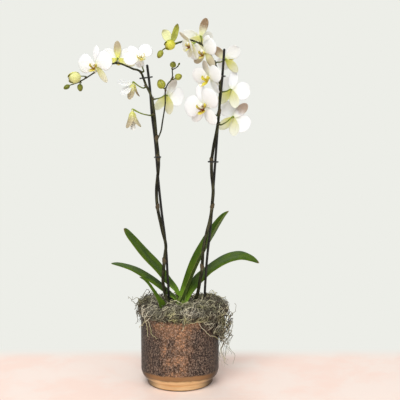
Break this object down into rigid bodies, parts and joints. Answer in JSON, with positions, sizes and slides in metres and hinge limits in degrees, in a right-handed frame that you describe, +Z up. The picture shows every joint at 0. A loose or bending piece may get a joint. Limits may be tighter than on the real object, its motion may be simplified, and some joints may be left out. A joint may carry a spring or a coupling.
{
  "type": "potted orchid",
  "caption": "Potted moth orchid with two staked spikes of white flowers, strap leaves and a mossy mound in a round glazed pot with a gold foot.",
  "frame": {"origin": "centre of the pot's flat underside", "axes": "+Z up along the pot's axis; the plant's front, as it is usually shown, faces -Y, and the arching left spike reaches towards -X"},
  "size_m": [0.325, 0.1492, 0.6224],
  "materials": {
    "pot_glaze": "gloss",
    "nursery_plastic": "satin",
    "bark": "matte",
    "moss": "matte",
    "crown": "satin",
    "leaf": "satin",
    "stem": "satin",
    "stake": "satin",
    "clip": "satin",
    "petal": "satin",
    "lip": "satin",
    "bud": "satin"
  },
  "bodies": {
    "root": {"pot": "pot_glaze", "nursery_pot": "nursery_plastic", "bark_mix": "bark", "moss_mound": "moss", "moss_bunch": "moss", "crown": "crown", "leaf_1": "leaf", "leaf_2": "leaf", "leaf_3": "leaf", "leaf_4": "leaf", "leaf_5": "leaf", "spike_left": "stem", "spike_right": "stem", "side_branch": "stem", "stake_left": "stake", "stake_right": "stake", "clip_left_low": "clip", "clip_left_high": "clip", "clip_right_low": "clip", "clip_right_high": "clip", "flower_left_1": "petal", "lip_left_1": "lip", "flower_left_2": "petal", "lip_left_2": "lip", "flower_left_3": "petal", "lip_left_3": "lip", "flower_left_4": "petal", "lip_left_4": "lip", "flower_left_5": "petal", "lip_left_5": "lip", "flower_left_6": "petal", "lip_left_6": "lip", "flower_right_1": "petal", "lip_right_1": "lip", "flower_right_2": "petal", "lip_right_2": "lip", "flower_right_3": "petal", "lip_right_3": "lip", "flower_right_4": "petal", "lip_right_4": "lip", "flower_right_5": "petal", "lip_right_5": "lip", "flower_right_6": "petal", "lip_right_6": "lip", "flower_right_7": "petal", "lip_right_7": "lip", "flower_right_8": "petal", "lip_right_8": "lip", "bud_left_open": "bud", "bud_left_2": "bud", "bud_left_3": "bud", "bud_branch_1": "bud", "bud_branch_2": "bud", "bud_branch_3": "bud", "bud_branch_4": "bud", "bud_right_open": "bud", "bud_right_2": "bud"}
  },
  "joints": []
}
